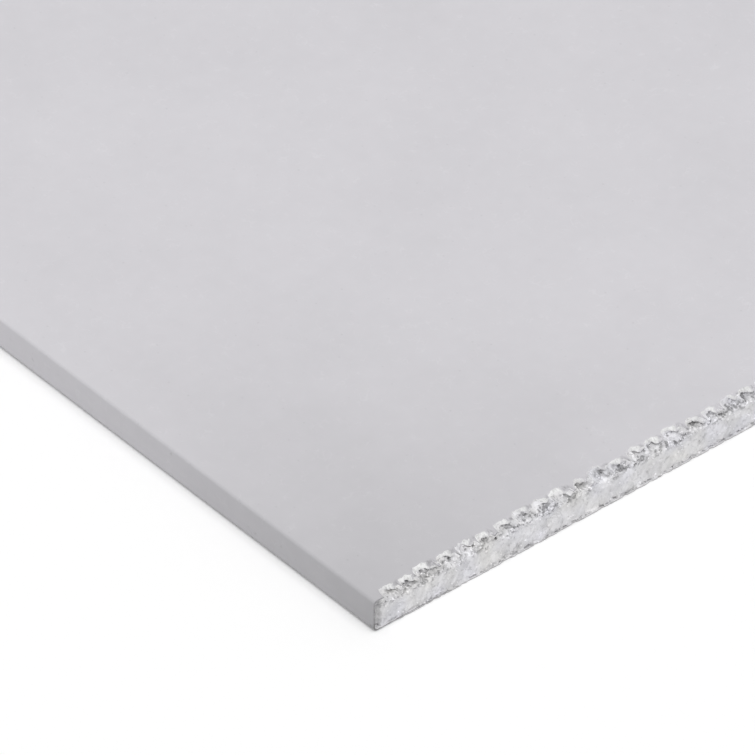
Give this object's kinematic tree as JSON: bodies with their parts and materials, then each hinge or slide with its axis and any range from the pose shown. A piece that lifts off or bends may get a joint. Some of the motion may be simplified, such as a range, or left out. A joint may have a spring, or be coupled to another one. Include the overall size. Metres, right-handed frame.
{
  "type": "drywall sheet",
  "caption": "Full sheet of half-inch drywall: gypsum core, grey face paper round two tapered long edges, lapped back paper and toothed cut ends.",
  "frame": {"origin": "middle of the back of the sheet, on the surface that it lies on", "axes": "+X along the sheet's length, towards one cut end; +Y across its width, towards one tapered edge; +Z out of the face"},
  "size_m": [2.4384, 1.2192, 0.0127],
  "materials": {
    "gypsum": "matte",
    "face_paper": "matte",
    "back_paper": "matte"
  },
  "bodies": {
    "root": {"gypsum_core": "gypsum", "face_paper": "face_paper", "back_paper": "back_paper"}
  },
  "joints": []
}
